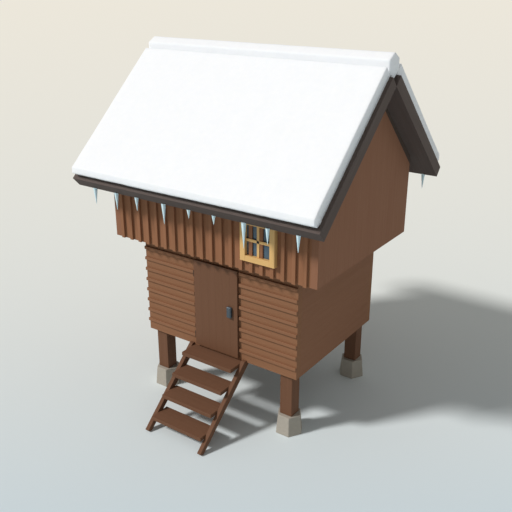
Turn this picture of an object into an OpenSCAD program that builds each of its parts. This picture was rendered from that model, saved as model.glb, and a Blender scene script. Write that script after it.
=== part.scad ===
// Raised granary: a two-storey timber store on four posts, with a jettied upper
// storey, a steep snow-covered roof and a short stair to the door.
// Millimetres. +X runs along the ridge, the door faces -Y, +Z is up.
// The origin is the middle of the bounding box, on the ground.

/* [Feet] */
// height of a stone footing
footing_h = 358; // [200:1:500]
// corner radius of a footing at the ground
footing_r = 260; // [230:1:320]
// corner radius of a footing at its top
footing_top_r = 221; // [190:1:300]
// side of a square post
post_w = 240; // [160:1:300]
// distance from the lower storey's side to a post's centre
post_in_x = 234; // [150:1:400]
// distance from the lower storey's front to a post's centre
post_in_y = 178; // [150:1:350]

/* [Lower storey] */
// outer width of the lower storey
lower_w = 3262; // [2900:1:3600]
// outer depth of the lower storey
lower_d = 2670; // [2400:1:2900]
// height of the walls' lower edge above the ground
lower_z = 1161; // [900:1:1400]
// height of the lower storey's walls
lower_h = 1858; // [1700:1:2100]
// thickness of every wall
wall_t = 120; // [80:1:180]
// thickness of the lower floor
floor_t = 85; // [60:1:120]
// number of level ribs on the lower front
rib_n = 8; // [4:1:12]
// height of a rib
rib_h = 56; // [40:1:80]
// how far a rib stands out from the wall
rib_t = 38; // [25:1:50]
// how far the rear ribs stop short of the corners
rib_end = 40; // [25:1:120]
// clear space between a rib's end and the door's side
rib_gap = 20; // [18:1:40]

/* [Door] */
// width of the door leaf
door_w = 932; // [800:1:1050]
// height of the door leaf's lower edge above the walls' lower edge
door_rise = 53; // [45:1:75]
// height of the door leaf
door_h = 1639; // [1500:1:1700]
// thickness of the door leaf
door_t = 50; // [35:1:60]
// clear space between the door leaf and the wall
door_gap = 5; // [5:1:10]
// how far the door leaf laps over the doorway's sides and head
door_lap = 36; // [20:1:60]
// width of the lock box
lock_w = 88; // [60:1:120]
// height of the lock box
lock_h = 197; // [150:1:240]
// depth of the lock box
lock_t = 50; // [25:1:60]
// distance from the door's middle to the lock's middle
lock_x = 314; // [250:1:380]
// height of the lock's middle above the walls' lower edge
lock_z = 910; // [800:1:1000]
// radius of the two hinge pins
pin_r = 4; // [3:0.5:5]
// wall thickness of a hinge barrel round its pin
barrel_wall = 4; // [3:0.5:4.5]
// height of a hinge barrel, and of the bracket under it
barrel_h = 60; // [40:1:90]
// distance from the door leaf's lower and upper edge to the nearer barrel's middle
hinge_in = 230; // [150:1:350]

/* [Upper storey] */
// outer width of the upper storey
upper_w = 4200; // [3900:1:4500]
// outer depth of the upper storey
upper_d = 3138; // [2900:1:3300]
// thickness of the upper floor
upper_floor_t = 100; // [70:1:140]
// depth of a gable rafter at the ridge
rafter_tip = 69; // [30:1:90]
// depth of a gable rafter at the eave wall
rafter_butt = 136; // [100:1:180]
// clearance between the walls' tops and the roof's underside
roof_seat = 0.2; // [0.1:0.05:0.3]
// number of fields between battens on the front
field_n = 21; // [15:1:27]
// width of a batten
batten_w = 66; // [40:1:80]
// thickness of a batten
batten_t = 42; // [20:1:50]

/* [Window] */
// distance from the middle to the window's centre
window_x = 1052; // [900:1:1200]
// height of the window's centre above the upper storey's lower edge
window_z = 554; // [500:1:650]
// outer width of the window frame
window_w = 655; // [560:1:760]
// outer height of the window frame
window_h = 708; // [600:1:780]
// width of the frame's sides
window_side = 95; // [60:1:120]
// height of the frame's rails
window_rail = 94; // [60:1:130]
// how far the frame stands out from the wall
window_t = 84; // [65:1:120]
// width of the glazing bars
bar_w = 46; // [30:1:60]
// how far the front of the glazing bars stands out from the wall
bar_t = 52; // [48:1:60]
// side of the square iron boss where the glazing bars cross
boss_w = 40; // [20:1:44]
// thickness of the boss
boss_t = 5; // [3:1:20]
// thickness of the glass
glass_t = 12; // [6:1:20]
// how far the front of the glass stands out from the wall
glass_out = 18; // [13:1:41]

/* [Roof] */
// slope of the roof in degrees
roof_a = 42.35; // [38:0.05:46]
// height of the roof's underside at the ridge above the upper storey's lower edge
roof_z = 2844; // [2800:1:2900]
// thickness of a roof slab
roof_t = 202; // [150:1:260]
// length of a roof slab down the slope
roof_l = 2750; // [2650:1:2900]
// length of the roof along the ridge
roof_w = 4892; // [4600:1:5100]
// thickness of the snow on the roof
snow_t = 196; // [120:1:260]
// how far the snow stays back from the roof's ends
snow_in = 61; // [30:1:120]
// corner radius of the snow lip along an eave
lip_r = 102; // [90:1:115]
// how far the lip's middle stays back from the slab's lower edge
lip_back = 137; // [110:1:180]
// how far the lip stays back from the roof's ends
lip_in = 56; // [30:1:120]
// how far the snow runs past the roof slab's upper edge
snow_over = 20; // [15:1:40]
// corner radius of the snow roll along the ridge
cap_r = 197; // [185:1:230]
// how far the snow roll stays back from the roof's ends
cap_in = 56; // [30:1:120]
// height of the roll's centre above the roof's underside at the ridge
cap_z = 300; // [290:1:310]

/* [Stair] */
// number of treads
tread_n = 4; // [3:1:5]
// rise from tread to tread
tread_rise = 295; // [260:1:300]
// going from tread to tread
tread_run = 284; // [250:1:300]
// depth of a tread
tread_d = 388; // [280:1:400]
// thickness of a tread
tread_t = 66; // [35:1:66]
// drop from the walls' lower edge to the underside of the top tread
tread_drop = 67; // [67:1:120]
// distance from the wall's face to the top tread's front edge
tread_out = 368; // [330:1:400]
// outer width over both stringers
stair_w = 1236; // [1000:1:1400]
// width of a stringer
stringer_w = 74; // [60:1:110]
// depth of a stringer across its slope, at the wall
stringer_t = 146; // [90:1:170]
// depth of a stringer across its slope, at its foot
stringer_low = 92; // [60:1:120]
// slope of the stringers in degrees
stringer_a = 42.5; // [41:0.5:45]
// height of the stringers' tops above the walls' lower edge
stringer_up = 35; // [20:1:45]
// distance from the wall's face to the stringers' upper front corner
stringer_out = 63; // [50:1:90]
// height of the front corner of a stringer's foot
stringer_foot = 41; // [20:1:60]

/* [Icicles] */
// corner radius of an icicle at its root
icicle_r = 44; // [30:1:60]
// length of the longest icicle
icicle_l = 392; // [300:1:450]
// how far an icicle's middle lies outside the eave's lower edge
icicle_out = 20; // [15:1:34]

/* [Hidden] */
// heights
upper_z = lower_z + lower_h;
ridge_z = upper_z + roof_z;
door_z = lower_z + door_rise;
sill_z = lower_z + floor_t;
head_z = door_z + door_h - door_lap;

// half widths and half depths
lx = lower_w/2;
ly = lower_d/2;
post_x = lx - post_in_x;
post_y = ly - post_in_y;
ux = upper_w/2;
uy = upper_d/2;

// doorway
way_x = door_w/2 - door_lap;
door_face = ly + door_gap + door_t;

// hinge axis, and the running clearance of the pins
hinge_x = -door_w/2 - pin_r - barrel_wall - 1;
hinge_y = -door_face;
pin_play = 0.05;
hinge_z = [door_z + hinge_in, door_z + door_h - hinge_in];

// window, its hole and its height
win_z = upper_z + window_z;
hole_w = window_w - 2*window_side;
hole_h = window_h - 2*window_rail;

// tops of the walls and rafters, just under the roof, at a distance from the middle
function under(y) = ridge_z - y*tan(roof_a) - roof_seat/cos(roof_a);

// gable wall's top line at a distance from the middle
function rake(y) = ridge_z - rafter_tip - y*(tan(roof_a) + (rafter_butt - rafter_tip)/uy);

// the upper line of the stringers passes this point
str_y = -ly - stringer_out;
str_z = lower_z + stringer_up;

// foot of the stringers, where the square end meets the ground
foot_y = str_y - (str_z - stringer_foot)/tan(stringer_a);

// distance from the middle of a point s down the slope and h above the underside
function out(s, h) = s*cos(roof_a) + h*sin(roof_a);

// the lip's middle: down the slope and above the slab's underside
lip_s = roof_l - lip_back;
lip_h = roof_t + snow_t/2;

// outermost point at the rear, and the shift that centres the bounding box
rear_y = max(out(roof_l, roof_t), out(lip_s, lip_h) + lip_r*cos(30));
mid_y = (rear_y + foot_y)/2;

// icicles, as [share of the eave's length from the left, share of the longest]
icicles = [
  [0.085, 0.68],
  [0.188, 0.71],
  [0.282, 0.535],
  [0.402, 0.83],
  [0.508, 0.32],
  [0.609, 0.325],
  [0.724, 1],
  [0.811, 0.6],
  [0.918, 0.63]
];
rear_icicle = [0.055, 0.69];

wood = [0.545, 0.392, 0.29];
wood_dark = [0.33, 0.24, 0.18];
roof_dark = [0.29, 0.27, 0.25];
stone = [0.67, 0.64, 0.58];
snow_white = [0.96, 0.98, 1];
ice = [0.76, 0.9, 0.94];
frame_yellow = [0.87, 0.72, 0.47];
iron = [0.33, 0.36, 0.38];

// everything is drawn round the building's middle and shifted once
module set() {
  translate([0, -mid_y, 0]) children();
}

// a box between two corners
module span(a, b) {
  translate(a) cube(b - a);
}

// a Y-Z outline drawn along X between two distances
module along_x(x0, x1) {
  translate([x0, 0, 0]) rotate([90, 0, 90]) linear_extrude(x1 - x0) children();
}

// a Y-Z outline of a wall under the roof on the -Y side
module eave_wall_outline() {
  polygon([
    [-uy, upper_z],
    [-uy + wall_t, upper_z],
    [-uy + wall_t, under(uy - wall_t)],
    [-uy, under(uy)]
  ]);
}

// local Y runs down the roof's -Y slope, local Z stands square to it
module slope() {
  translate([0, 0, ridge_z]) rotate([roof_a, 0, 0]) rotate([0, 0, 180]) children();
}

module four(x, y) {
  for (sx = [-1, 1], sy = [-1, 1]) translate([sx*x, sy*y, 0]) children();
}

module footings() {
  color(stone) set() four(post_x, post_y) {
    cylinder(r1=footing_r, r2=footing_top_r, h=footing_h, $fn=6);
  }
}

module posts() {
  color(wood) set() four(post_x, post_y) {
    translate([-post_w/2, -post_w/2, footing_h]) cube([post_w, post_w, lower_z - footing_h]);
  }
}

module ground_floor() {
  color(wood) set() {
    span([-lx + wall_t, -ly + wall_t, lower_z], [lx - wall_t, ly - wall_t, sill_z]);
  }
}

module lower_front_left() {
  color(wood) set() span([-lx, -ly, lower_z], [-way_x, -ly + wall_t, upper_z]);
}

module lower_front_right() {
  color(wood) set() span([way_x, -ly, lower_z], [lx, -ly + wall_t, upper_z]);
}

module door_sill() {
  color(wood) set() span([-way_x, -ly, lower_z], [way_x, -ly + wall_t, sill_z]);
}

module door_head() {
  color(wood) set() span([-way_x, -ly, head_z], [way_x, -ly + wall_t, upper_z]);
}

module lower_rear() {
  color(wood) set() span([-lx, ly - wall_t, lower_z], [lx, ly, upper_z]);
}

module lower_left() {
  color(wood) set() {
    span([-lx, -ly + wall_t, lower_z], [-lx + wall_t, ly - wall_t, upper_z]);
  }
}

module lower_right() {
  color(wood) set() {
    span([lx - wall_t, -ly + wall_t, lower_z], [lx, ly - wall_t, upper_z]);
  }
}

// level ribs between two distances along X, on the wall whose face is at -Y
module ribs(x0, x1) {
  for (k = [1:rib_n]) {
    z = lower_z + k*lower_h/(rib_n + 1);
    span([x0, -ly - rib_t, z - rib_h/2], [x1, -ly, z + rib_h/2]);
  }
}

module ribs_front_left() {
  color(wood) set() ribs(-lx, -door_w/2 - rib_gap);
}

module ribs_front_right() {
  color(wood) set() ribs(door_w/2 + rib_gap, lx);
}

module ribs_rear() {
  color(wood) set() rotate([0, 0, 180]) ribs(-lx + rib_end, lx - rib_end);
}

module door() {
  color(wood) set() {
    span([-door_w/2, -door_face, door_z], [door_w/2, -door_face + door_t, door_z + door_h]);
  }
}

module door_lock() {
  color(iron) set() translate([lock_x - lock_w/2, -door_face - lock_t, lower_z + lock_z - lock_h/2]) {
    cube([lock_w, lock_t, lock_h]);
  }
}

// wall brackets in the gap beside the door, each with an upright pin
module hinge_brackets() {
  color(iron) set() for (z = hinge_z) {
    translate([0, 0, z - barrel_h*1.5]) union() {
      span([hinge_x - pin_r, hinge_y, 0], [hinge_x + pin_r, -ly, barrel_h]);
      translate([hinge_x, hinge_y, 0]) cylinder(r=pin_r, h=barrel_h*2 - 2, $fn=48);
    }
  }
}

// barrels that turn on the pins, each with a leaf on the door's side
module hinge_barrels() {
  color(iron) set() for (z = hinge_z) {
    translate([0, 0, z - barrel_h/2]) difference() {
      union() {
        translate([hinge_x, hinge_y, 0]) cylinder(r=pin_r + barrel_wall, h=barrel_h, $fn=48);
        span([-door_w/2 - 3, hinge_y, 0], [-door_w/2, hinge_y + door_t, barrel_h]);
      }
      translate([hinge_x, hinge_y, -1]) cylinder(r=pin_r + pin_play, h=barrel_h + 2, $fn=48);
    }
  }
}

module upper_floor() {
  color(wood) set() {
    span([-ux + wall_t, -uy + wall_t, upper_z], [ux - wall_t, uy - wall_t, upper_z + upper_floor_t]);
  }
}

module upper_front_left() {
  color(wood) set() along_x(-ux + wall_t, window_x - hole_w/2) eave_wall_outline();
}

module upper_front_right() {
  color(wood) set() along_x(window_x + hole_w/2, ux - wall_t) eave_wall_outline();
}

module upper_front_below() {
  color(wood) set() {
    span([window_x - hole_w/2, -uy, upper_z], [window_x + hole_w/2, -uy + wall_t, win_z - hole_h/2]);
  }
}

module upper_front_above() {
  color(wood) set() intersection() {
    along_x(window_x - hole_w/2, window_x + hole_w/2) eave_wall_outline();
    span([window_x - hole_w/2, -uy, win_z + hole_h/2], [window_x + hole_w/2, -uy + wall_t, ridge_z]);
  }
}

module upper_rear() {
  color(wood) set() rotate([0, 0, 180]) along_x(-ux + wall_t, ux - wall_t) eave_wall_outline();
}

module gable(x0) {
  along_x(x0, x0 + wall_t) polygon([
    [-uy, upper_z],
    [uy, upper_z],
    [uy, rake(uy)],
    [0, rake(0)],
    [-uy, rake(uy)]
  ]);
}

module gable_left() {
  color(wood) set() gable(-ux);
}

module gable_right() {
  color(wood) set() gable(ux - wall_t);
}

// tapered rafters between a gable wall's top line and the roof's underside
module rafter(x0) {
  along_x(x0, x0 + wall_t) polygon([
    [-uy, rake(uy)],
    [0, rake(0)],
    [0, under(0)],
    [-uy, under(uy)]
  ]);
}

module rafter_front_left() {
  color(wood_dark) set() rafter(-ux);
}

module rafter_front_right() {
  color(wood_dark) set() rafter(ux - wall_t);
}

module rafter_rear_left() {
  color(wood_dark) set() rotate([0, 0, 180]) rafter(ux - wall_t);
}

module rafter_rear_right() {
  color(wood_dark) set() rotate([0, 0, 180]) rafter(-ux);
}

// upright battens over the board joints of an eave wall, up to the roof
module battens() {
  for (k = [1:field_n - 1]) {
    x = -ux + k*upper_w/field_n;
    along_x(x - batten_w/2, x + batten_w/2) polygon([
      [-uy - batten_t, upper_z],
      [-uy, upper_z],
      [-uy, under(uy)],
      [-uy - batten_t, under(uy + batten_t)]
    ]);
  }
}

module window_ring() {
  difference() {
    span(
      [window_x - window_w/2, -uy - window_t, win_z - window_h/2],
      [window_x + window_w/2, -uy, win_z + window_h/2]
    );
    span(
      [window_x - hole_w/2, -uy - window_t - 1, win_z - hole_h/2],
      [window_x + hole_w/2, -uy + 1, win_z + hole_h/2]
    );
  }
}

module battens_front() {
  color(wood) set() difference() {
    battens();
    window_ring();
  }
}

module battens_rear() {
  color(wood) set() rotate([0, 0, 180]) battens();
}

module window_frame() {
  color(frame_yellow) set() union() {
    window_ring();
    span(
      [window_x - hole_w/2 - 1, -uy - bar_t, win_z - bar_w/2],
      [window_x + hole_w/2 + 1, -uy - batten_t, win_z + bar_w/2]
    );
    span(
      [window_x - bar_w/2, -uy - bar_t, win_z - hole_h/2 - 1],
      [window_x + bar_w/2, -uy - batten_t, win_z + hole_h/2 + 1]
    );
  }
}

// a square iron boss on the crossing of the glazing bars
module window_boss() {
  color(iron) set() {
    translate([window_x - boss_w/2, -uy - bar_t - boss_t, win_z - boss_w/2]) {
      cube([boss_w, boss_t, boss_w]);
    }
  }
}

// panes between the battens that pass behind the glazing bars
module window_glass() {
  color([0.3, 0.4, 0.44]) set() {
    difference() {
      span(
        [window_x - hole_w/2, -uy - glass_out, win_z - hole_h/2],
        [window_x + hole_w/2, -uy - glass_out + glass_t, win_z + hole_h/2]
      );
      battens();
    }
  }
}

module roof_slab() {
  slope() translate([-roof_w/2, 0, 0]) cube([roof_w, roof_l, roof_t]);
}

module roof_front() {
  color(roof_dark) set() roof_slab();
}

module roof_rear() {
  color(roof_dark) set() rotate([0, 0, 180]) roof_slab();
}

// a blanket of snow on one slope, and the six-sided lip along its eave
module snow_blanket() {
  slope() union() {
    translate([snow_in - roof_w/2, 0, 0]) rotate([90, 0, 90]) linear_extrude(roof_w - 2*snow_in) {
      polygon([
        [-snow_over, roof_t],
        [lip_s, roof_t],
        [lip_s + lip_r*cos(30 + roof_a), lip_h + lip_r*sin(30 + roof_a)],
        [lip_s, roof_t + snow_t],
        [-snow_over, roof_t + snow_t]
      ]);
    }
    translate([lip_in - roof_w/2, lip_s, lip_h]) rotate([0, 90, 0]) rotate([0, 0, roof_a]) {
      cylinder(r=lip_r, h=roof_w - 2*lip_in, $fn=6);
    }
  }
}

// the six-sided roll of snow along the ridge, a corner upwards
module snow_roll() {
  translate([-roof_w/2 + cap_in, 0, ridge_z + cap_z]) rotate([0, 90, 0]) {
    cylinder(r=cap_r, h=roof_w - 2*cap_in, $fn=6);
  }
}

module snow_front() {
  color(snow_white) set() difference() {
    snow_blanket();
    snow_roll();
  }
}

module snow_rear() {
  color(snow_white) set() difference() {
    rotate([0, 0, 180]) snow_blanket();
    snow_roll();
  }
}

module snow_ridge() {
  color(snow_white) set() snow_roll();
}

// an icicle under the eave's lower edge, cut to the roof slab's end
module icicle(i) {
  y0 = -out(roof_l, 0);
  z0 = ridge_z - roof_l*sin(roof_a);
  l = i[1]*icicle_l;
  difference() {
    translate([(i[0] - 0.5)*roof_w, y0 - icicle_out, z0 - l]) {
      cylinder(r1=3, r2=icicle_r*(0.66 + 0.34*i[1]), h=l + icicle_out, $fn=6);
    }
    roof_slab();
  }
}

module icicles_front() {
  color(ice) set() for (i = icicles) icicle(i);
}

module icicles_rear() {
  color(ice) set() rotate([0, 0, 180]) icicle(rear_icicle);
}

// a stringer that tapers towards its foot
module stringer(x0) {
  along_x(x0, x0 + stringer_w) polygon([
    [foot_y, stringer_foot],
    [foot_y + stringer_foot*tan(stringer_a), 0],
    [str_y - str_z/tan(stringer_a) + stringer_low/sin(stringer_a), 0],
    [str_y - stringer_up/tan(stringer_a) + stringer_t/sin(stringer_a), lower_z],
    [-ly, lower_z],
    [-ly, str_z],
    [str_y, str_z]
  ]);
}

module stringer_left() {
  color(wood) set() stringer(-stair_w/2);
}

module stringer_right() {
  color(wood) set() stringer(stair_w/2 - stringer_w);
}

module treads() {
  color(wood) set() for (k = [0:tread_n - 1]) {
    translate([
      -stair_w/2 + stringer_w,
      -ly - tread_out - k*tread_run,
      lower_z - tread_drop - k*tread_rise
    ]) cube([stair_w - 2*stringer_w, tread_d, tread_t]);
  }
}

footings();
posts();
ground_floor();
lower_front_left();
lower_front_right();
door_sill();
door_head();
lower_rear();
lower_left();
lower_right();
ribs_front_left();
ribs_front_right();
ribs_rear();
door();
door_lock();
hinge_brackets();
hinge_barrels();
upper_floor();
upper_front_left();
upper_front_right();
upper_front_below();
upper_front_above();
upper_rear();
gable_left();
gable_right();
rafter_front_left();
rafter_front_right();
rafter_rear_left();
rafter_rear_right();
battens_front();
battens_rear();
window_frame();
window_boss();
window_glass();
roof_front();
roof_rear();
snow_front();
snow_rear();
snow_ridge();
icicles_front();
icicles_rear();
stringer_left();
stringer_right();
treads();
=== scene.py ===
"""Raised granary: sawn boards, joinery, stone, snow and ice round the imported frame.

Metres, in the frame's own axes: +X along the ridge, the door faces -Y, +Z is up.
"""
import math

import bpy
import numpy as np
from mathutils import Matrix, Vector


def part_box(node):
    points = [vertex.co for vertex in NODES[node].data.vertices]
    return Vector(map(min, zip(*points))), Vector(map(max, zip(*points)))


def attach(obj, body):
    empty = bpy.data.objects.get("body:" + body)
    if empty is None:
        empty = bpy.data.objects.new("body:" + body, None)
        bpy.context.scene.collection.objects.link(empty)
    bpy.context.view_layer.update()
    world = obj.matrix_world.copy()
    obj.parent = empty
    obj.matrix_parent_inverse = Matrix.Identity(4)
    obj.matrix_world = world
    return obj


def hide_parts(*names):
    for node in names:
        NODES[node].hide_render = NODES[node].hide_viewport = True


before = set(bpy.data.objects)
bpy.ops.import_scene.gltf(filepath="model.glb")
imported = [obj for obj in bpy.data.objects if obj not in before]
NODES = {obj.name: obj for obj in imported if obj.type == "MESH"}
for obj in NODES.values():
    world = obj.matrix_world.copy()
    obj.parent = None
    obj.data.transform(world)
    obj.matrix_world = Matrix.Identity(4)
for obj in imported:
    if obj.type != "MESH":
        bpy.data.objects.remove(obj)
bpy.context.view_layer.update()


def box(node):
    """Lowest and highest corner of a CAD node, as arrays."""
    return [np.array(corner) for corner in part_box(node)]


# Sizes of the real pieces

# what the joints between two boards are eased by, and the free arrises of each kind of timber
JOINT = 0.0008
ROOF_JOINT = 0.0012
BAR_ARRIS = 0.0015
WINDOW_ARRIS = 0.002
ARRIS = 0.0025
RIB_ARRIS = 0.004
POST_ARRIS = 0.006
TREAD_ARRIS = 0.004
STONE_ARRIS = 0.008
STONE_RIM = 0.7 * STONE_ARRIS
# fields between battens on a long side, and boards or courses in the other walls and floors
FIELDS = 21
COURSES = 9
GABLE_BOARDS = 16
FLOOR_BOARDS = 15
DOOR_BOARDS = 6
SOFFIT_BOARDS = 24
# battens and level ribs
BATTEN_W = 0.066
BATTEN_T = 0.042
RIB_H = 0.056
# a batten that the window's edge leaves no wider than this is left out, and one narrower than
# this share of its width has no nails
BATTEN_SLIVER = 0.005
BATTEN_NAILED = 0.9
# heads of nails and pegs: radius and rise
NAIL = (0.006, 0.002)
RIB_NAIL = (0.005, 0.0015)
DOOR_NAIL = (0.005, 0.0012)
LOCK_NAIL = (0.004, 0.0018)
PEG = (0.007, 0.001)
# how far nails lie from a batten's foot and top and from the ends of a rib and of a door board,
# and how far behind a tread's middle the two in its end lie
BATTEN_NAILS = (0.06, 0.12)
RIB_NAIL_IN = 0.07
DOOR_NAIL_IN = 0.16
TREAD_NAILS = (0.047, 0.147)
# a batten below this length has two nails, a longer one three
SHORT_BATTEN = 0.6
# the rafters' height at the wall
RAFTER_BUTT = 0.136
# a board line that lies closer than this to a wall piece's side is that side
SAME_LINE = 0.01
# lock: its plate's thickness and distance from the case's ends and sides, and its nails' from the
# edges
LOCK_PLATE = 0.003
LOCK_MARGIN = 0.016
LOCK_NAIL_IN = 0.009
LOCK_ARRIS = 0.005
PLATE_ARRIS = 0.001
# roof slabs: slope, length down the slope, thickness and the boards that face them
SLOPE = math.radians(42.35)
SLAB_L = 2.750
SLAB_T = 0.202
FACING = 0.022
# unevenness of faces: each swell's (height, length, seed)
SNOW_SWELLS = [(0.005, 0.55, 3), (0.002, 0.16, 4)]
ROLL_SWELLS = [(0.003, 0.5, 30), (0.0015, 0.15, 39)]
STONE_SWELLS = [(0.003, 0.11, 0), (0.002, 0.035, 50)]
# snow: thickness of a blanket, how far it runs over the slab's top edge and where its lip lies
SNOW_T = 0.196
SNOW_OVER = 0.020
SNOW_IN = 0.061
LIP_R = 0.102
LIP_BACK = 0.137
LIP_IN = 0.056
ROLL_R = 0.197
# how far its corners are averaged to either side and its rim is rounded, the height over the
# boards at which a rim is fully round, and the two steps that draw in a roll's end
SNOW_SOFT = 0.006
SNOW_RIM = 0.009
SNOW_FREE = 0.03
ROLL_RIM = (0.014, 0.004)
# the roll's corners: a hexagon's radius as a share of its corners', and the most it may be there
ROLL_CORNER = ([0.866, 1], [0.93, 0.98])
# outlines along a blanket and along the roll, and points down a blanket's slope and round its lip
STATIONS = 118
SLOPE_POINTS = 68
LIP_POINTS = 34
# how far up the slope from the lip's heel the slope's points end, the lip's begin and its wider
# ends begin, and how far the last point stays inside its nose
SLOPE_END = 0.06
LIP_START = 0.05
LIP_WIDER = 0.04
LIP_TIP = 0.003
# window joinery
STILE = 0.095
RAIL = 0.094
BAR = 0.046
BAR_DEPTH = 0.010
# stair
TREADS = 4
TREAD_D = 0.388
TREAD_T = 0.066
STRINGER_T = 0.146
STRINGER_LOW = 0.092
STRINGER_SLOPE = math.radians(42.5)
STRINGER_FOOT = 0.041
# posts and their stones, whose corners are cut off at this share of their radius
POST = 0.240
STONE_R = 0.260
STONE_TOP_R = 0.221
STONE_BLUNT = 0.993
# icicles: the longest one's radius and how little of it a very short one has, the radius of a
# tip, the longest one's length and how far they hang outside the slab's lower edge; how blunt
# their corners are, and the distance and depth of their rings
ICICLE_R = 0.044
THINNEST = 0.66
ICICLE_TIP = 0.003
ICICLE_L = 0.392
ICICLE_OUT = 0.020
ICICLE_BLUNT = 0.975
ICICLE_RING = 0.016
ICICLE_RING_DEPTH = 0.04
# [share of the eave's length from the left, share of the longest one]
FRONT_ICICLES = [[0.085, 0.68], [0.188, 0.71], [0.282, 0.535], [0.402, 0.83], [0.508, 0.32],
                 [0.609, 0.325], [0.724, 1], [0.811, 0.6], [0.918, 0.63]]
REAR_ICICLES = [[0.055, 0.69]]

# lines that the pieces share, from the frame
GABLE_LOW, GABLE_HIGH = box("gable_left")
ROOF_HIGH = box("roof_front")[1]
MIDDLE = (GABLE_LOW[1] + GABLE_HIGH[1]) / 2
HALF_X = -GABLE_LOW[0]
HALF_Y = (GABLE_HIGH[1] - GABLE_LOW[1]) / 2
ROOF_X = ROOF_HIGH[0]
RIDGE_Z = ROOF_HIGH[2] - SLAB_T * math.cos(SLOPE)
RIDGE = np.array([0.0, MIDDLE, RIDGE_Z])
RAKE_TOP = GABLE_HIGH[2]
RAKE_FALL = (RAKE_TOP - (RIDGE_Z - HALF_Y * math.tan(SLOPE) - RAFTER_BUTT)) / HALF_Y
X, Y, Z = np.eye(3)


# Colours and nodes


def linear(colour):
    """An sRGB hex colour as the linear RGBA that a shader takes."""
    c = np.array([int(colour[i:i + 2], 16) for i in (1, 3, 5)]) / 255
    c = np.where(c <= 0.04045, c / 12.92, ((c + 0.055) / 1.055) ** 2.4)
    return (*c, 1.0)


def add(tree, kind, values=(), links=()):
    """One node of a tree: values go to its settings or input sockets, links to its inputs."""
    made = tree.nodes.new(kind)
    for key, value in dict(values).items():
        if isinstance(key, str) and hasattr(made, key):
            setattr(made, key, value)
        else:
            made.inputs[key].default_value = value
    for key, source in dict(links).items():
        tree.links.new(source, made.inputs[key])
    return made


def surface(name, values):
    """A new material with one Principled shader: (material, its tree, the shader)."""
    material = bpy.data.materials.new(name)
    material.use_nodes = True
    tree = material.node_tree
    shader = tree.nodes["Principled BSDF"]
    for key, value in values.items():
        shader.inputs[key].default_value = value
    return material, tree, shader


def patterned(name, deep, pale, source, patterns, rough, relief, values):
    """A material whose colour runs from deep to pale, and whose roughness and relief go with it.

    source is "grain", the coordinates that each timber carries, or None for Object coordinates.
    patterns holds (size of a mark along the three axes in metres, share of the whole, detail).
    rough is (smoothest, roughest), relief the height of the marks in metres.
    """
    material, tree, shader = surface(name, values)
    if source:
        place = add(tree, "ShaderNodeAttribute", {"attribute_name": source}).outputs["Vector"]
        tone = add(tree, "ShaderNodeAttribute", {"attribute_name": "tone"}).outputs["Fac"]
    else:
        place = add(tree, "ShaderNodeTexCoord").outputs["Object"]
        tone = None
    total = tone
    for size, share, detail in patterns:
        scaled = add(tree, "ShaderNodeVectorMath", {"operation": "DIVIDE", 1: size}, {0: place})
        marks = add(tree, "ShaderNodeTexNoise", {"Scale": 1.0, "Detail": detail},
                    {"Vector": scaled.outputs["Vector"]})
        part = add(tree, "ShaderNodeMath", {"operation": "MULTIPLY", 1: share},
                   {0: marks.outputs["Fac"]}).outputs[0]
        if total:
            total = add(tree, "ShaderNodeMath", {"operation": "ADD"}, {0: total, 1: part}).outputs[0]
        else:
            total = part
    spread = add(tree, "ShaderNodeMapRange", {"From Min": 0.25, "From Max": 0.75}, {"Value": total})
    tint = add(tree, "ShaderNodeMix", {"data_type": "RGBA", 6: linear(deep), 7: linear(pale)},
               {0: spread.outputs[0]})
    tree.links.new(tint.outputs[2], shader.inputs["Base Color"])
    dull = add(tree, "ShaderNodeMapRange", {"To Min": rough[1], "To Max": rough[0]},
               {"Value": spread.outputs[0]})
    tree.links.new(dull.outputs[0], shader.inputs["Roughness"])
    bump = add(tree, "ShaderNodeBump", {"Distance": relief, "Strength": 1.0},
               {"Height": spread.outputs[0]})
    tree.links.new(bump.outputs["Normal"], shader.inputs["Normal"])
    return material


# Finishes


# Sawn pine, 8 mm fibres 400 mm long in 45 mm growth bands; the tar hides most of the grain, so
# the two colours lie close together.
FIBRES = [((0.40, 0.008, 0.008), 0.55, 3.0), ((1.3, 0.045, 0.045), 0.45, 1.0)]


def sawn_pine(name, deep, pale):
    """Tarred pine: matt, with the relief of a sawn face."""
    return patterned(name, deep, pale, "grain", FIBRES, (0.72, 0.86), 0.0006,
                     {"IOR": 1.5, "Specular IOR Level": 0.25})


TARRED_PINE = sawn_pine("tarred pine boards", "#8C6043", "#9A6B4D")
LOWER_PINE = sawn_pine("tarred pine courses", "#865E43", "#906649")
# The gable boards are the same tarred pine, drawn a little darker and cooler to match their look in shade:
# painted shade.
SIDE_PINE_PAINTED_SHADE = sawn_pine("tarred pine gable boards", "#8B6048", "#92674D")
# The lower end walls' courses are darker still, for the shade under the upper storey: painted shade.
LOW_SIDE_PINE_PAINTED_SHADE = sawn_pine("tarred pine end courses", "#885F46", "#8E644A")
RIB_PINE = sawn_pine("sawn pine ribs", "#855D43", "#90664A")
STAIR_PINE = sawn_pine("dark pine of posts and stair", "#684834", "#72503B")
# Rafters and floor boards, in pine drawn as dark as the shade under the roof: painted shade.
SHADE_DARKENED_PINE = sawn_pine("pine rafters darkened as painted shade", "#4A3D35", "#54463D")
ROOF_BOARDS = sawn_pine("black tarred roof boards", "#574C47", "#60544F")

# Planed pine, closer and smoother than the walls, with narrow 5 mm fibres.
DOOR_PINE = patterned("planed pine door", "#694832", "#6D4A34", "grain",
                      [((0.50, 0.005, 0.005), 0.5, 2.0), ((1.6, 0.05, 0.05), 0.5, 1.0)],
                      (0.60, 0.72), 0.0003, {"IOR": 1.5, "Specular IOR Level": 0.3})

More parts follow.
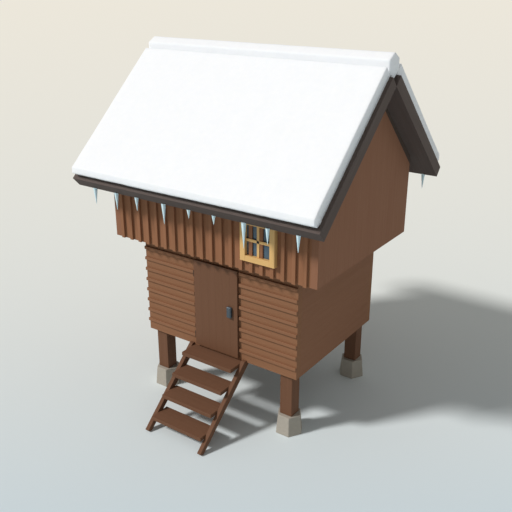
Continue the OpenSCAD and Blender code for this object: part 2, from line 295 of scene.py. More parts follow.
# Linseed oil paint, brushed along each piece: a soft gloss and fine 3 mm brush marks.
OIL_PAINT = patterned("ochre linseed oil paint", "#D9AD6B", "#E5BA7A", "grain",
                      [((0.25, 0.003, 0.003), 0.6, 2.0), ((0.6, 0.02, 0.02), 0.4, 1.0)],
                      (0.42, 0.55), 0.0002, {"IOR": 1.48, "Specular IOR Level": 0.35})

# Dressed granite: 5 mm mineral specks in 35 mm clouds, and tool marks in its relief.
GRANITE = patterned("dressed granite", "#A49D92", "#AFA89B", None,
                    [((0.005, 0.005, 0.005), 0.5, 2.0), ((0.035, 0.035, 0.035), 0.5, 3.0)],
                    (0.75, 0.9), 0.0015, {"IOR": 1.55, "Specular IOR Level": 0.3})

# Settled snow: half of the light passes some centimetres through it, so its edges glow, and loose
# crystals give it a faint sheen. Its 2 mm crystals are drawn 6 mm coarse so that they show.
SNOW = patterned("settled snow", "#F4F8FC", "#FAFCFE", None,
                 [((0.006, 0.006, 0.006), 0.35, 1.0), ((0.09, 0.09, 0.09), 0.65, 3.0)],
                 (0.75, 0.95), 0.0006,
                 {"IOR": 1.31, "Specular IOR Level": 0.2, "Subsurface Weight": 0.5,
                  "Subsurface Radius": (1.0, 1.0, 1.05), "Subsurface Scale": 0.12,
                  "Sheen Weight": 0.3, "Sheen Roughness": 0.6})

# Ice with fine bubbles: pale blue through its depth, and dulled outside by frost, so that no
# highlight shows.
ICE = patterned("bubbly ice", "#D0EAF1", "#E1F5FA", None,
                [((0.012, 0.012, 0.05), 1.0, 3.0)],
                (0.3, 0.42), 0.0003,
                {"IOR": 1.31, "Specular IOR Level": 0.2, "Subsurface Weight": 0.3,
                 "Subsurface Radius": (0.8, 0.9, 1.0), "Subsurface Scale": 0.01})

# Cylinder-blown window glass before a dark room, drawn opaque: its dark blue-grey is the glass's tint
# together with the room's darkness, painted shade. Slow 80 mm waves in a glossy face.
GLASS_PAINTED_SHADE = patterned("old window glass", "#435561", "#506677", None,
                  [((0.08, 0.08, 0.08), 1.0, 1.0)], (0.06, 0.10), 0.0006, {"IOR": 1.52})

# Forged iron, oiled black: hammer marks 9 mm wide under a satin skin.
IRON = patterned("oiled wrought iron", "#4C555C", "#5A646C", None,
                 [((0.009, 0.009, 0.009), 0.6, 2.0), ((0.03, 0.03, 0.03), 0.4, 1.0)],
                 (0.42, 0.58), 0.0004, {"Metallic": 0.6})
# Hinge iron tarred over with the wall, so that it keeps the timber's brown.
TARRED_IRON = patterned("tarred hinge iron", "#5A4232", "#694D3A", None,
                        [((0.009, 0.009, 0.009), 1.0, 2.0)], (0.6, 0.75), 0.0003, {"IOR": 1.5})
BLACK_IRON = patterned("black iron boss", "#101010", "#1C1C1C", None,
                       [((0.009, 0.009, 0.009), 1.0, 2.0)], (0.5, 0.6), 0.0004, {"Metallic": 0.6})


# Solids and pieces


# (points round, rings along) of a stone, an icicle and a nail's head, and points round the roll
STONE_MESH = (72, 22)
ICICLE_MESH = (36, 40)
NAIL_MESH = (10, 4)
ROLL_POINTS = 72
# how far up its dome a nail's last ring lies
DOME = 0.45 * np.pi
# each solid takes its grain from another place, within this many metres, and strays in tone
RNG = np.random.default_rng(11)
GRAIN_SPREAD = 40
TONE = 0.035
# a nail's marks are shrunk by this, so that it keeps to one colour
NAIL_MARKS = 0.2
# sine waves in a swell, and how many of the slowest and of the fastest fit into its length
WAVES = 14
WAVE_RATES = (0.6, 1.5)


def loft(rings, marks):
    """Rings of points skinned into a closed shell: each point joins its neighbours along and
    round, and the first and last ring are closed by a flat face. The marks are each point's
    place in the grain, and one tone drawn at random goes with them."""
    rows, around = rings.shape[:2]
    index = np.arange(rows * around).reshape(rows, around)
    after = np.roll(index, -1, axis=1)
    quads = np.stack([index[:-1], after[:-1], after[1:], index[1:]], -1).reshape(-1, 4)
    points = rings.reshape(-1, 3)
    corner = points[quads]
    facing = np.cross(corner[:, 2] - corner[:, 0], corner[:, 3] - corner[:, 1])
    outward = ((corner.mean(1) - points.mean(0)) * facing).sum() > 0
    faces = quads.tolist() + [index[0, ::-1].tolist(), index[-1].tolist()]
    if not outward:
        faces = [face[::-1] for face in faces]
    shift = RNG.uniform(0, GRAIN_SPREAD, 3)
    tone = np.full(len(points), RNG.uniform(-TONE, TONE))
    return points, faces, marks.reshape(-1, 3) + shift, tone


def unit(vector):
    return np.array(vector, float) / np.linalg.norm(vector)


def turns(count):
    """Angles spaced evenly round a circle."""
    return np.linspace(0, 2 * np.pi, count, endpoint=False)


def hexagon(turn, blunt=1.0):
    """A hexagon's radius at each angle as a share of its corners', never past blunt: the flats'
    share, cos 30, over the cosine of the angle from the middle of the flat."""
    return np.minimum(math.cos(np.pi / 6) / np.cos(turn % (np.pi / 3) - np.pi / 6), blunt)


def timber(start, end, across, wide, thick, ease=JOINT, cuts=(None, None), steps=1):
    """A sawn timber: a rectangle with cut corners, carried from start to end. Both ends are
    drawn in by ease, and where a cut's normal is given, each point of that end slides along
    the timber onto the cut's plane."""
    start, end = np.array(start, float), np.array(end, float)
    length = np.linalg.norm(end - start)
    along = unit(end - start)
    across = unit(across)
    through = np.cross(along, across)
    w, t = wide / 2, thick / 2
    outline = np.array([[w, ease - t], [w, t - ease], [w - ease, t], [ease - w, t],
                        [-w, t - ease], [-w, ease - t], [ease - w, -t], [w - ease, -t]])
    places = np.concatenate([[0], np.linspace(ease, length - ease, steps + 1), [length]])
    scale = np.ones((len(places), 2))
    scale[[0, -1]] = 1 - ease / np.array([w, t])
    flat = outline[None] * scale[:, None]
    side = flat[..., :1] * across + flat[..., 1:] * through
    share = (places / length)[:, None]
    slide = np.zeros(side.shape[:2])
    for normal, weight in zip(cuts, (1 - share, share)):
        if normal is not None:
            slide = slide - weight * (side @ normal) / (along @ normal)
    down = places[:, None] + slide
    rings = start + side + down[..., None] * along
    return loft(rings, np.concatenate([down[..., None], flat], -1))


def drawn_in(outline, ease):
    """An outline with every side moved inwards by ease, its points staying on the mitres."""
    step = np.roll(outline, -1, 0) - outline
    step /= np.linalg.norm(step, axis=1)[:, None]
    turn = np.sign(np.cross(outline, np.roll(outline, -1, 0)).sum())
    inner = np.stack([-step[:, 1], step[:, 0]], 1) * turn
    before = np.roll(inner, 1, 0)
    return outline + ease * (inner + before) / (1 + (inner * before).sum(1))[:, None]


def cornered(outline, ease):
    """An outline with each corner cut off, ease along both of its sides."""
    after = np.roll(outline, -1, 0) - outline
    before = np.roll(outline, 1, 0) - outline
    after /= np.linalg.norm(after, axis=1)[:, None]
    before /= np.linalg.norm(before, axis=1)[:, None]
    return np.stack([outline + ease * before, outline + ease * after], 1).reshape(-1, 2)


def carried(outline, low, high, ease, steps=1, tilt=0.0):
    """A Y-Z outline carried along X from low to high, with cut corners and both ends drawn in.
    tilt turns the grain's direction, from along X towards the outline's own Y at a quarter
    turn and on to the slope of the roof or stair."""
    full = cornered(np.array(outline, float), ease)
    places = np.concatenate([[low], np.linspace(low + ease, high - ease, steps + 1), [high]])
    flat = np.repeat(full[None], len(places), 0)
    flat[[0, -1]] = drawn_in(full, ease)
    rings = np.concatenate([np.broadcast_to(places[:, None, None], (*flat.shape[:2], 1)), flat], -1)
    marks = rings
    if tilt:
        c, s = math.cos(tilt), math.sin(tilt)
        marks = np.stack([flat[..., 0] * c + flat[..., 1] * s, flat[..., 1] * c - flat[..., 0] * s,
                          rings[..., 0]], -1)
    return loft(rings, marks)


def swell(points, size, seed):
    """Soft unevenness from 0 to 1: sine waves about size long, run through space in random
    directions and added up."""
    draw = np.random.default_rng(seed)
    waves = draw.normal(size=(3, WAVES))
    waves *= 2 * np.pi / size * draw.uniform(*WAVE_RATES, WAVES) / np.linalg.norm(waves, axis=0)
    total = np.sin(points @ waves + draw.uniform(0, 2 * np.pi, WAVES)).sum(-1)
    return np.clip(0.5 + total / 10, 0, 1)


def uneven(points, swells, first=0):
    """Depth of an uneven face at each point: its swells, each times its height, added up. first
    goes to every seed, so that like pieces differ."""
    return sum(height * swell(points, length, first + seed) for height, length, seed in swells)


def piece(name, solids, material, nodes, body="house", sharp=None):
    """One shown object made of solids, riding on a body in the place of its CAD nodes.
    sharp is the angle past which an edge of a rounded piece stays sharp."""
    points, faces, marks, tones, first = [], [], [], [], 0
    for solid in solids:
        points.append(solid[0])
        faces += [[corner + first for corner in face] for face in solid[1]]
        marks.append(solid[2])
        tones.append(solid[3])
        first += len(solid[0])
    mesh = bpy.data.meshes.new(name)
    mesh.from_pydata(np.concatenate(points), [], faces)
    grain = mesh.attributes.new("grain", "FLOAT_VECTOR", "POINT")
    grain.data.foreach_set("vector", np.concatenate(marks).astype(np.float32).ravel())
    tone = mesh.attributes.new("tone", "FLOAT", "POINT")
    tone.data.foreach_set("value", np.concatenate(tones).astype(np.float32))
    if sharp:
        mesh.polygons.foreach_set("use_smooth", np.ones(len(mesh.polygons), bool))
        mesh.set_sharp_from_angle(angle=math.radians(sharp))
    mesh.materials.append(material)
    obj = bpy.data.objects.new(name, mesh)
    bpy.context.scene.collection.objects.link(obj)
    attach(obj, body)
    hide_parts(*nodes)


# Walls and floors


def boards(node, along, across, edges, end_of=None):
    """A CAD node's box filled with boards: along and across are axis numbers, edges the lines
    between boards. end_of gives a board's upper end and its cut from the board's middle."""
    low, high = box(node)
    made = []
    for a, b in zip(edges[:-1], edges[1:]):
        start, end = (low + high) / 2, (low + high) / 2
        start[across] = end[across] = (a + b) / 2
        start[along], end[along] = low[along], high[along]
        cut = None
        if end_of:
            end[along], cut = end_of(end)
        thick = (high - low)[3 - along - across]
        made.append(timber(start, end, np.eye(3)[across], b - a, thick, JOINT, (None, cut)))
    return made


def evenly(node, across, count):
    low, high = box(node)
    return np.linspace(low[across], high[across], count + 1)


def under_roof(point):
    """Height of the roof's underside over a point, and the normal of its plane there."""
    y = point[1] - MIDDLE
    rise = math.tan(SLOPE)
    return RIDGE_Z - abs(y) * rise, np.array([0, math.copysign(rise, y), 1])


def under_rafter(point):
    """Height of the rafter's underside over a point, and the normal of its plane there."""
    y = point[1] - MIDDLE
    return RAKE_TOP - abs(y) * RAKE_FALL, np.array([0, math.copysign(RAKE_FALL, y), 1])


def field_lines(node):
    """The edges of a node's upright boards: its own sides and the batten lines between."""
    low, high = box(node)
    lines = np.linspace(-HALF_X, HALF_X, FIELDS + 1)
    between = (lines > low[0] + SAME_LINE) & (lines < high[0] - SAME_LINE)
    return [low[0], *lines[between], high[0]]


def walls():
    """Upright boards in the upper storey, level courses in the lower one."""
    for node in ("upper_front_left", "upper_front_right", "upper_front_above", "upper_rear"):
        piece(node + "_boards", boards(node, 2, 0, field_lines(node), under_roof),
              TARRED_PINE, [node])
    node = "upper_front_below"
    piece(node + "_boards", boards(node, 2, 0, field_lines(node)), TARRED_PINE, [node])
    # the gables take the pine whose colour carries painted shade
    for node in ("gable_left", "gable_right"):
        piece(node + "_boards", boards(node, 2, 1, evenly(node, 1, GABLE_BOARDS), under_rafter),
              SIDE_PINE_PAINTED_SHADE, [node])
    for node in ("lower_front_left", "lower_front_right", "lower_rear"):
        piece(node + "_courses", boards(node, 0, 2, evenly(node, 2, COURSES)),
              LOWER_PINE, [node])
    # the lower end walls take the pine darkened as painted shade
    for node in ("lower_left", "lower_right"):
        piece(node + "_courses", boards(node, 1, 2, evenly(node, 2, COURSES)),
              LOW_SIDE_PINE_PAINTED_SHADE, [node])
    for node in ("door_sill", "door_head"):
        piece(node + "_beam", boards(node, 0, 2, evenly(node, 2, 1)), LOWER_PINE, [node])
    # the floors take the pine darkened as painted shade
    for node in ("ground_floor", "upper_floor"):
        piece(node + "_boards", boards(node, 0, 1, evenly(node, 1, FLOOR_BOARDS)),
              SHADE_DARKENED_PINE, [node])


def rafters():
    """Tapered gable rafters, between the gable boards' tops and the roof, in pine darkened as painted
    shade.
    """
    for node in ("rafter_front_left", "rafter_front_right", "rafter_rear_left", "rafter_rear_right"):
        low, high = box(node)
        butt, tip = (low[1], high[1]) if "front" in node else (high[1], low[1])
        foot = under_rafter([0, butt, 0])[0]
        outline = [[butt, foot], [tip, RAKE_TOP], [tip, under_roof([0, tip, 0])[0]],
                   [butt, under_roof([0, butt, 0])[0]]]
        tilt = SLOPE if "front" in node else -SLOPE
        piece(node + "_timber", [carried(outline, low[0], high[0], JOINT, tilt=tilt)],
              SHADE_DARKENED_PINE, [node])


# Battens, ribs and nails


def nail(place, normal, head=NAIL):
    """A driven nail's domed head: rings that narrow as they rise, round a line from the face."""
    radius, rise = head
    normal = unit(normal)
    side = unit(np.cross(normal, [0.3, 0.5, 0.8]))
    up = np.cross(normal, side)
    lift = np.linspace(0, DOME, NAIL_MESH[1])[:, None, None]
    turn = turns(NAIL_MESH[0])[:, None]
    ring = side * np.cos(turn) + up * np.sin(turn)
    rings = np.array(place) + radius * np.cos(lift) * ring + normal * (rise * np.sin(lift))
    return loft(rings, rings * NAIL_MARKS)


def batten(x, spans, face, outwards):
    """One batten on a wall's face, as a timber for each span of its height, with nails. A span
    is (left, right, low, high), and one without a high end is cut to the roof."""
    made = []
    for left, right, low, high in spans:
        middle = np.array([(left + right) / 2, face + outwards * BATTEN_T / 2, low])
        top, cut = (high, None) if high else under_roof(middle)
        end = middle + Z * (top - low)
        ease = min(ARRIS, (right - left) / 4)
        made.append(timber(middle, end, X, right - left, BATTEN_T, ease, (None, cut), 3))
        if right - left > BATTEN_W * BATTEN_NAILED:
            count = 2 if top - low < SHORT_BATTEN else 3
            for z in np.linspace(low + BATTEN_NAILS[0], top - BATTEN_NAILS[1], count):
                made.append(nail([x, face + outwards * BATTEN_T, z], [0, outwards, 0]))
    return made


def window_hole():
    """Lowest and highest corner of the light inside the window's frame."""
    low, high = box("window_frame")
    inset = np.array([STILE, 0, RAIL])
    return low + inset, high - inset


def battens():
    """Battens over every board joint, cut round the window's frame and shown again in its hole."""
    frame_low, frame_high = box("window_frame")
    hole_low, hole_high = window_hole()
    front, back = [], []
    base = GABLE_LOW[2]
    for x in np.linspace(-HALF_X, HALF_X, FIELDS + 1)[1:-1]:
        left, right = x - BATTEN_W / 2, x + BATTEN_W / 2
        spans = [(left, right, base, None)]
        if right > frame_low[0] and left < frame_high[0]:
            spans = [(left, right, base, frame_low[2]), (left, right, frame_high[2], None)]
            left, right = max(left, hole_low[0]), min(right, hole_high[0])
            if right - left > BATTEN_SLIVER:
                spans.append((left, right, hole_low[2], hole_high[2]))
        front += batten(x, spans, GABLE_LOW[1], -1)
        back += batten(x, [(x - BATTEN_W / 2, x + BATTEN_W / 2, base, None)], GABLE_HIGH[1], 1)
    piece("front_battens", front, TARRED_PINE, ["battens_front"])
    piece("rear_battens", back, TARRED_PINE, ["battens_rear"])


def ribs():
    """Level slats with eased arrises, nailed to the lower walls at an even spacing."""
    for node, outwards in (("ribs_front_left", -1), ("ribs_front_right", -1), ("ribs_rear", 1)):
        low, high = box(node)
        y = (low[1] + high[1]) / 2
        face = low[1] if outwards < 0 else high[1]
        made = []
        for z in np.linspace(low[2] + RIB_H / 2, high[2] - RIB_H / 2, COURSES - 1):
            made.append(timber([low[0], y, z], [high[0], y, z], Z, RIB_H, high[1] - low[1], RIB_ARRIS,
                               steps=4))
            for x in np.linspace(low[0] + RIB_NAIL_IN, high[0] - RIB_NAIL_IN, 3):
                made.append(nail([x, face, z], [0, outwards, 0], RIB_NAIL))
        piece(node + "_slats", made, RIB_PINE, [node])


# Door, lock and window


def door():
    """Upright boards in one plane, nailed in three rows, and the lock's box with its plate."""
    low, high = box("door")
    edges = evenly("door", 0, DOOR_BOARDS)
    made = boards("door", 2, 0, edges)
    for x in (edges[1:] + edges[:-1]) / 2:
        for z in np.linspace(low[2] + DOOR_NAIL_IN, high[2] - DOOR_NAIL_IN, 3):
            made.append(nail([x, low[1], z], -Y, DOOR_NAIL))
    piece("door_leaf", made, DOOR_PINE, ["door"], "door")
    low, high = box("door_lock")
    middle = (low + high) / 2
    size = high - low
    x, y = middle[0], middle[1] + LOCK_PLATE / 2
    made = [timber([x, y, low[2]], [x, y, high[2]], X, size[0], size[1] - LOCK_PLATE, LOCK_ARRIS)]
    y = low[1] + LOCK_PLATE / 2
    made.append(timber([x, y, low[2] + LOCK_MARGIN], [x, y, high[2] - LOCK_MARGIN],
                       X, size[0] - 2 * LOCK_MARGIN, LOCK_PLATE, PLATE_ARRIS))
    for x in (low[0] + LOCK_NAIL_IN, high[0] - LOCK_NAIL_IN):
        for z in (low[2] + LOCK_NAIL_IN, high[2] - LOCK_NAIL_IN):
            made.append(nail([x, low[1] + LOCK_PLATE, z], -Y, LOCK_NAIL))
    piece("lock_case", made, IRON, ["door_lock"], "door")


def window():
    """Two stiles, two rails between them and bars that cross, the level bar in two halves that butt
    against the upright one, with pegs.
    """
    low, high = box("window_frame")
    hole_low, hole_high = window_hole()
    deep = high[1] - low[1]
    y = (low[1] + high[1]) / 2
    made = []
    for x in (low[0] + STILE / 2, high[0] - STILE / 2):
        made.append(timber([x, y, low[2]], [x, y, high[2]], X, STILE, deep, WINDOW_ARRIS))
        for z in (low[2] + RAIL / 2, high[2] - RAIL / 2):
            made.append(nail([x, low[1], z], -Y, PEG))
    for z in (low[2] + RAIL / 2, high[2] - RAIL / 2):
        made.append(timber([hole_low[0], y, z], [hole_high[0], y, z], Z, RAIL, deep, WINDOW_ARRIS))
    boss_high = box("window_boss")[1]
    bar_y = boss_high[1] + BAR_DEPTH / 2
    cross = (hole_low + hole_high) / 2
    made.append(timber([cross[0], bar_y, hole_low[2]], [cross[0], bar_y, hole_high[2]],
                       X, BAR, BAR_DEPTH, BAR_ARRIS))
    for start, end in ((hole_low[0], cross[0] - BAR / 2), (cross[0] + BAR / 2, hole_high[0])):
        made.append(timber([start, bar_y, cross[2]], [end, bar_y, cross[2]], Z, BAR, BAR_DEPTH,
                           BAR_ARRIS))
    piece("window_joinery", made, OIL_PAINT, ["window_frame"])


# Posts, stones and stair


def four(node, half_x, half_y):
    """The middles of four like things that stand in a node's corners."""
    low, high = box(node)
    xs, ys = (low[0] + half_x, high[0] - half_x), (low[1] + half_y, high[1] - half_y)
    return [(x, y) for x in xs for y in ys]


def posts():
    low, high = box("posts")
    made = [timber([x, y, low[2]], [x, y, high[2]], X, POST, POST, POST_ARRIS, steps=4)
            for x, y in four("posts", POST / 2, POST / 2)]
    piece("corner_posts", made, STAIR_PINE, ["posts"])


def stone(x, y, height, seed):
    """A six-sided block that narrows upwards: rings of a hexagon with blunt corners, each point
    set back by swells of two lengths, and the rims drawn in."""
    turn = turns(STONE_MESH[0])
    arris = STONE_ARRIS / height
    rise = np.concatenate([[0], np.linspace(arris, 1 - arris, STONE_MESH[1]), [1]])
    radius = STONE_R + (STONE_TOP_R - STONE_R) * rise
    radius[[0, -1]] -= STONE_RIM
    ring = np.stack([np.cos(turn), np.sin(turn), 0 * turn], 1)
    rings = radius[:, None, None] * hexagon(turn, STONE_BLUNT)[:, None] * ring
    rings = rings + Z * (rise * height)[:, None, None]
    rings = rings - uneven(rings, STONE_SWELLS, seed)[..., None] * ring + np.array([x, y, 0])
    return loft(rings, rings)


def stones():
    height = box("footings")[1][2]
    half_y = STONE_R * math.cos(np.pi / 6)
    made = [stone(x, y, height, seed) for seed, (x, y) in enumerate(four("footings", STONE_R, half_y))]
    piece("footing_stones", made, GRANITE, ["footings"], sharp=35)


def stair():
    """Two stringers that taper down to a level foot and seat under the wall, with treads nailed
    between."""
    wall_z = box("lower_front_left")[0][2]
    fall, rise = math.tan(STRINGER_SLOPE), math.sin(STRINGER_SLOPE)
    for node, outer in (("stringer_left", -1), ("stringer_right", 1)):
        low, high = box(node)
        start_y = low[1] + (high[2] - STRINGER_FOOT) / fall
        outline = [[low[1], STRINGER_FOOT], [low[1] + STRINGER_FOOT * fall, 0],
                   [start_y - high[2] / fall + STRINGER_LOW / rise, 0],
                   [start_y - (high[2] - wall_z) / fall + STRINGER_T / rise, wall_z],
                   [high[1], wall_z], [high[1], high[2]], [start_y, high[2]]]
        made = [carried(outline, low[0], high[0], ARRIS, tilt=STRINGER_SLOPE)]
        face = low[0] if outer < 0 else high[0]
        for y, z in tread_middles():
            for step in TREAD_NAILS:
                made.append(nail([face, y + step, z], [outer, 0, 0]))
        piece(node + "_timber", made, STAIR_PINE, [node])
    low, high = box("treads")
    made = [timber([low[0], y, z], [high[0], y, z], Y, TREAD_D, TREAD_T, TREAD_ARRIS, steps=4)
            for y, z in tread_middles()]
    piece("tread_boards", made, STAIR_PINE, ["treads"])


def tread_middles():
    low, high = box("treads")
    ys = np.linspace(high[1] - TREAD_D / 2, low[1] + TREAD_D / 2, TREADS)
    zs = np.linspace(high[2] - TREAD_T / 2, low[2] + TREAD_T / 2, TREADS)
    return list(zip(ys, zs))


# Roof, snow and ice


def slope(side):
    """Down the slope and square to it, on the front (-1) or the rear (1)."""
    down = np.array([0, side * math.cos(SLOPE), -math.sin(SLOPE)])
    return down, np.array([0, side * math.sin(SLOPE), math.cos(SLOPE)])


def roof(node, side):
    """A thick roof: a core faced with soffit boards that run down the slope, a barge board on
    both ends and an eave board."""
    down, up = slope(side)
    inner_x = ROOF_X - FACING
    inner_s = SLAB_L - FACING

    def at(x, s, h):
        return RIDGE + X * x + down * s + up * h

    core = [at(0, s, h)[1:] for s, h in ((0, FACING), (inner_s, FACING), (inner_s, SLAB_T), (0, SLAB_T))]
    made = [carried(core, -inner_x, inner_x, JOINT)]
    for edge in (-1, 1):
        x = edge * (ROOF_X - FACING / 2)
        made.append(timber(at(x, 0, SLAB_T / 2), at(x, inner_s, SLAB_T / 2), up, SLAB_T, FACING,
                           ROOF_JOINT))
    eave = inner_s + FACING / 2
    made.append(timber(at(-ROOF_X, eave, SLAB_T / 2), at(ROOF_X, eave, SLAB_T / 2), up, SLAB_T, FACING,
                       ROOF_JOINT))
    lines = np.linspace(-inner_x, inner_x, SOFFIT_BOARDS + 1)
    for a, b in zip(lines[:-1], lines[1:]):
        made.append(timber(at((a + b) / 2, 0, FACING / 2), at((a + b) / 2, inner_s, FACING / 2),
                           X, b - a, FACING, ROOF_JOINT))
    piece(node + "_boards", made, ROOF_BOARDS, [node])


def beside(line):
    """The outward normal of each point of an upper line, from its neighbours' difference."""
    step = np.gradient(line, axis=0)
    step /= np.linalg.norm(step, axis=1)[:, None]
    return np.stack([-step[:, 1], step[:, 0]], 1)


def blanket(side):
    """Settled snow and the lip along its eave, as one skin. Its end is a ladder: each station
    down the slope has an upper and a lower point. The upper line runs level over the slope, over
    the lip's corner and down its face, the lower one along the boards and round the lip's
    underside, and both are averaged over twice SNOW_SOFT, which rounds their corners. The ladder
    is carried along X with its rim drawn in on a quarter circle, and sinks in by the swells."""
    down, up = slope(side)
    lip_s, lip_h = SLAB_L - LIP_BACK, SLAB_T + SNOW_T / 2
    corner = np.radians([30, -30, -90, -150]) + SLOPE
    crown, nose, chin, heel = np.stack([lip_s + LIP_R * np.cos(corner), lip_h + LIP_R * np.sin(corner)], 1)
    s = np.concatenate([np.linspace(-SNOW_OVER, heel[0] - SLOPE_END, SLOPE_POINTS),
                        np.linspace(heel[0] - LIP_START, nose[0] - LIP_TIP, LIP_POINTS)])
    spread = np.linspace(-SNOW_SOFT, SNOW_SOFT, 9)
    upper = np.interp(s[:, None] + spread, [s[0], crown[0], nose[0]], [SLAB_T + SNOW_T, crown[1], nose[1]])
    lower = np.interp(s[:, None] + spread, [s[0], heel[0], chin[0], nose[0]],
                      [SLAB_T, SLAB_T, chin[1], nose[1]])
    top = np.stack([s, np.minimum(upper.mean(1), upper[:, 4])], 1)
    bottom = np.stack([s, np.maximum(lower.mean(1), lower[:, 4])], 1)
    outwards = np.concatenate([beside(top), -beside(bottom)[::-1]])
    flat = np.concatenate([top, bottom[::-1]])
    free = np.clip((flat[:, 1] - SLAB_T) / SNOW_FREE, 0, 1)
    reach = ROOF_X - np.where(flat[:, 0] > heel[0] - LIP_WIDER, LIP_IN, SNOW_IN)
    turn = np.linspace(0, np.pi / 2, 5)
    rim_x, rim_in = SNOW_RIM * (1 - np.sin(turn)), SNOW_RIM * (1 - np.cos(turn))
    body = np.linspace(SNOW_RIM - reach.min(), reach.min() - SNOW_RIM, STATIONS)[1:-1, None]
    x = np.concatenate([rim_x[::-1, None] - reach, np.repeat(body, len(flat), 1), reach - rim_x[:, None]])
    inset = np.concatenate([rim_in[::-1], np.zeros(len(body)), rim_in])[:, None]
    spot = np.stack([x, *np.broadcast_arrays(flat[:, 0], flat[:, 1] + 0 * x)], -1)
    depth = free * (inset + uneven(spot, SNOW_SWELLS))
    local = flat - depth[..., None] * outwards
    rings = RIDGE + x[..., None] * X + local[..., :1] * down + local[..., 1:] * up
    points, faces, marks, tone = loft(rings, rings)
    ladders = [[face[k], face[k + 1], face[-2 - k], face[-1 - k]]
               for face in faces[-2:] for k in range(len(s) - 1)]
    return points, faces[:-2] + ladders, marks, tone


def six_sided(y, z, radius, end_x):
    """A six-sided roll of snow along X, a corner up: a hexagon carried along, sinking in by the
    swells, and drawn in at both ends over two rings. Towards a corner its radius grows more
    slowly than a hexagon's, which rounds it."""
    turn = turns(ROLL_POINTS)
    share = hexagon(turn)
    share = np.minimum(share, np.interp(share, *ROLL_CORNER))
    wide, narrow = ROLL_RIM
    places = np.concatenate([[-end_x, narrow - end_x], np.linspace(wide - end_x, end_x - wide, STATIONS),
                             [end_x - narrow, end_x]])
    radii = np.full(len(places), radius)
    radii[[0, -1]] -= wide
    radii[[1, -2]] -= narrow
    out = np.stack([0 * turn, np.sin(turn), np.cos(turn)], 1)
    rings = radii[:, None, None] * share[:, None] * out + X * places[:, None, None]
    rings = rings - uneven(rings, ROLL_SWELLS)[..., None] * out + np.array([0, y, z])
    return loft(rings, rings)


def snow():
    for node, side in (("snow_front", -1), ("snow_rear", 1)):
        piece(node + "_blanket", [blanket(side)], SNOW, [node], sharp=50)
    low, high = box("snow_ridge")
    piece("snow_ridge_roll", [six_sided(MIDDLE, (low[2] + high[2]) / 2, ROLL_R, high[0])],
          SNOW, ["snow_ridge"], sharp=50)


def icicle(share, size, side):
    """A hanging cone with six blunt sides and shallow rings: rings of a hexagon that widen from
    the tip to the root, which is cut to the slab's lower edge."""
    edge = RIDGE + slope(side)[0] * SLAB_L
    length = size * ICICLE_L
    root = ICICLE_R * (THINNEST + (1 - THINNEST) * size)
    turn = turns(ICICLE_MESH[0])
    rise = np.linspace(0, 1, ICICLE_MESH[1])
    radius = ICICLE_TIP + (root - ICICLE_TIP) * rise
    radius *= 1 - ICICLE_RING_DEPTH / 2 * (1 - np.cos(2 * np.pi * rise * length / ICICLE_RING))
    ring = np.stack([np.cos(turn), np.sin(turn)], 1)
    flat = radius[:, None, None] * hexagon(turn, ICICLE_BLUNT)[:, None] * ring
    outwards = ICICLE_OUT + side * flat[-1, :, 1]
    seat = np.minimum(ICICLE_OUT, np.where(outwards > 0, outwards / math.tan(SLOPE),
                                           -outwards * math.tan(SLOPE)))
    z = edge[2] - length + rise[:, None] * (length + seat)
    x = -side * (2 * share - 1) * ROOF_X + flat[..., 0]
    y = edge[1] + side * ICICLE_OUT + flat[..., 1]
    rings = np.stack([x, y, z], -1)
    return loft(rings, rings)


def ice():
    for node, side, hanging in (("icicles_front", -1, FRONT_ICICLES), ("icicles_rear", 1, REAR_ICICLES)):
        made = [icicle(share, size, side) for share, size in hanging]
        piece(node + "_ice", made, ICE, [node], sharp=25)


def small_iron_and_glass():
    """The CAD nodes that keep their own shape and take a finish."""
    for node, material in (("window_glass", GLASS_PAINTED_SHADE), ("window_boss", BLACK_IRON),
                           ("hinge_brackets", TARRED_IRON), ("hinge_barrels", TARRED_IRON)):
        mesh = NODES[node].data
        mesh.materials.clear()
        mesh.materials.append(material)


# Floor, light and camera


FLOOR_R = 400.0
VIEW_AZIMUTH = math.radians(35.026)
VIEW_PITCH = math.radians(21.953)
CAMERA = (6.922398, MIDDLE - 10.049406, 7.485845)
AHEAD = np.array([-math.sin(VIEW_AZIMUTH), math.cos(VIEW_AZIMUTH), 0.0])
# up to this distance the floor has its cool tone, whose share then falls as one over the distance
NEAR = 8.0
FLOOR_FAR = "#FEF9EC"
FLOOR_NEAR = "#D6E4EA"


def floor_finish():
    """Studio floor whose colour is graded by the distance from the camera along the view: cool and darker
    near it, warm and pale far off.
    """
    material, tree, shader = surface("studio floor paint", {"Roughness": 0.95, "Specular IOR Level": 0.0})
    coords = add(tree, "ShaderNodeTexCoord")
    along = add(tree, "ShaderNodeVectorMath", {"operation": "DOT_PRODUCT", 1: AHEAD},
                {0: coords.outputs["Object"]})
    start = float(np.dot(CAMERA, AHEAD))
    away = add(tree, "ShaderNodeMath", {"operation": "SUBTRACT", 1: start}, {0: along.outputs["Value"]})
    near = add(tree, "ShaderNodeMath", {"operation": "MAXIMUM", 1: NEAR}, {0: away.outputs[0]})
    share = add(tree, "ShaderNodeMath", {"operation": "DIVIDE", 0: NEAR}, {1: near.outputs[0]})
    tint = add(tree, "ShaderNodeMix", {"data_type": "RGBA", 6: linear(FLOOR_FAR), 7: linear(FLOOR_NEAR)},
               {0: share.outputs[0]})
    tree.links.new(tint.outputs[2], shader.inputs["Base Color"])
    return material


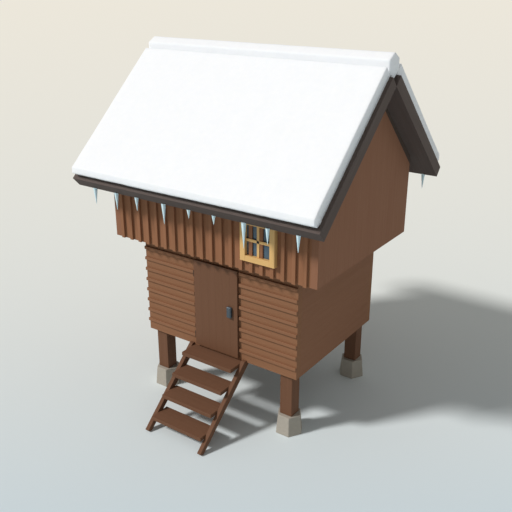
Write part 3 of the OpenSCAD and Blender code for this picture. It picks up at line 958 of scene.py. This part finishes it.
def floor():
    turn = turns(64)
    ring = np.stack([FLOOR_R * np.cos(turn), FLOOR_R * np.sin(turn), 0 * turn], 1)
    mesh = bpy.data.meshes.new("floor")
    mesh.from_pydata(ring.tolist(), [], [list(range(len(ring)))])
    mesh.materials.append(floor_finish())
    obj = bpy.data.objects.new("floor", mesh)
    bpy.context.scene.collection.objects.link(obj)


# the sun's side, breadth, strength and colour; the sky's light and the backdrop it shows
SUN_FROM = unit([-0.68, -0.878, 1.0])
SUN_ANGLE = math.radians(8.3)
SUN = 2.55
SUN_COLOUR = (1.0, 0.977, 0.966)
SKY = 0.323
SKY_LIGHT = "#FDFEFD"
BACKDROP = "#ECE6DA"


def lights():
    sun = bpy.data.lights.new("sun", "SUN")
    sun.energy = SUN
    sun.angle = SUN_ANGLE
    sun.color = SUN_COLOUR
    lamp = bpy.data.objects.new("sun", sun)
    bpy.context.scene.collection.objects.link(lamp)
    lamp.rotation_euler = (math.acos(SUN_FROM[2]), 0, math.atan2(SUN_FROM[0], -SUN_FROM[1]))
    world = bpy.data.worlds.new("sky")
    bpy.context.scene.world = world
    world.use_nodes = True
    tree = world.node_tree
    back = tree.nodes["Background"]
    path = add(tree, "ShaderNodeLightPath")
    seen = add(tree, "ShaderNodeMath", {"operation": "MAXIMUM"},
               {0: path.outputs["Is Camera Ray"], 1: path.outputs["Is Glossy Ray"]})
    light = np.array(linear(SKY_LIGHT)) * SKY
    tint = add(tree, "ShaderNodeMix", {"data_type": "RGBA", 6: (*light[:3], 1), 7: linear(BACKDROP)},
               {0: seen.outputs[0]})
    tree.links.new(tint.outputs[2], back.inputs["Color"])


def camera():
    lens = bpy.data.cameras.new("camera")
    lens.lens = 50
    lens.sensor_width = 36
    lens.clip_end = 1000
    obj = bpy.data.objects.new("camera", lens)
    obj.location = CAMERA
    obj.rotation_euler = (math.pi / 2 - VIEW_PITCH, 0, VIEW_AZIMUTH)
    bpy.context.scene.collection.objects.link(obj)
    bpy.context.scene.camera = obj


walls()
rafters()
battens()
ribs()
door()
window()
posts()
stones()
stair()
roof("roof_front", -1)
roof("roof_rear", 1)
snow()
ice()
small_iron_and_glass()
floor()
lights()
camera()
bpy.context.scene.view_settings.view_transform = "Standard"
